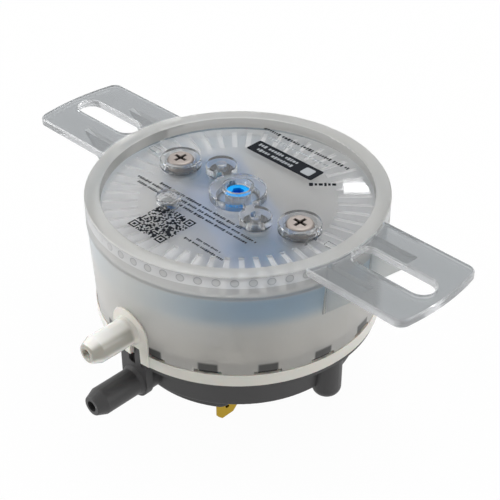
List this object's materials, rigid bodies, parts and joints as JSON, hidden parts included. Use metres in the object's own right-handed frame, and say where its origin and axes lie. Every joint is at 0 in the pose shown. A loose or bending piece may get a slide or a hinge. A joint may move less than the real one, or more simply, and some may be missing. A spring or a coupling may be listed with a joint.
{
  "type": "differential pressure switch",
  "caption": "round differential pressure switch with a clear upper housing, slotted ears, two stacked hose ports, a blue setting screw, a sprung diaphragm and blade terminals",
  "frame": {"origin": "centre of the pattern of the two ear slots, on the level of the ears' top and of the rim", "axes": "+X along the ears, +Z out of the rim's top, -Y the way that both hose ports point"},
  "size_m": [0.1216, 0.0838, 0.0538],
  "materials": {
    "clear_plastic": "clear gloss top, frosted wall",
    "charcoal_plastic": "satin moulded",
    "blue_plastic": "satin moulded",
    "blue_screw_plastic": "gloss moulded",
    "screw_steel": "plated",
    "seal_rubber": "satin",
    "spring_steel": "bright drawn",
    "diaphragm_rubber": "matte",
    "plate_aluminium": "satin",
    "natural_plastic": "satin moulded",
    "switch_plastic": "satin moulded",
    "contact_silver": "bright",
    "brass": "bright stamped"
  },
  "bodies": {
    "housing": {"upper_housing": "clear_plastic", "lower_housing": "charcoal_plastic", "spring_carrier": "blue_plastic", "carrier_screw_left": "screw_steel", "carrier_screw_right": "screw_steel", "range_spring": "spring_steel", "diaphragm": "diaphragm_rubber", "switch_body": "switch_plastic", "switch_cover": "switch_plastic", "contact_upper": "contact_silver", "contact_lower": "contact_silver", "terminal_common": "brass", "terminal_open": "brass", "terminal_closed": "brass", "switch_screw_left": "screw_steel", "switch_screw_right": "screw_steel"},
    "setting": {"calibration_screw": "blue_screw_plastic", "calibration_seal": "seal_rubber"},
    "nut": {"spring_nut": "brass"},
    "stack": {"diaphragm_plate": "plate_aluminium", "pusher": "natural_plastic", "plate_retainer": "spring_steel"},
    "plunger": {"switch_plunger": "natural_plastic"},
    "blade": {"snap_blade": "brass", "moving_contact": "contact_silver"}
  },
  "joints": [
    {"name": "calibration_turn", "type": "hinge", "parent": "housing", "child": "setting", "pos_m": [0, 0, -0.0015], "axis": [0, 0, 1], "range_deg": [-750, 750]},
    {"name": "nut_travel", "type": "slide", "parent": "housing", "child": "nut", "axis": [0, 0, 1], "range_m": [-0.0014, 0.0014], "deforming": ["range_spring"]},
    {"name": "diaphragm_lift", "type": "slide", "parent": "housing", "child": "stack", "axis": [0, 0, 1], "range_m": [0, 0.0008], "stiffness_N_per_m": 1270, "springref_m": -0.0015, "deforming": ["range_spring", "diaphragm"]},
    {"name": "plunger_lift", "type": "slide", "parent": "housing", "child": "plunger", "axis": [0, 0, 1], "range_m": [0, 0.00036]},
    {"name": "blade_swing", "type": "hinge", "parent": "housing", "child": "blade", "pos_m": [-0.0076, 0, -0.0412], "axis": [0, -1, 0], "range_deg": [0, 2.7]}
  ],
  "couplings": [
    {"joint": "calibration_turn", "follows": "nut_travel", "rad_per_m": -8975},
    {"joint": "plunger_lift", "follows": "diaphragm_lift", "ratio": 0.43},
    {"joint": "blade_swing", "follows": "diaphragm_lift", "rad_per_m": 56.7}
  ]
}
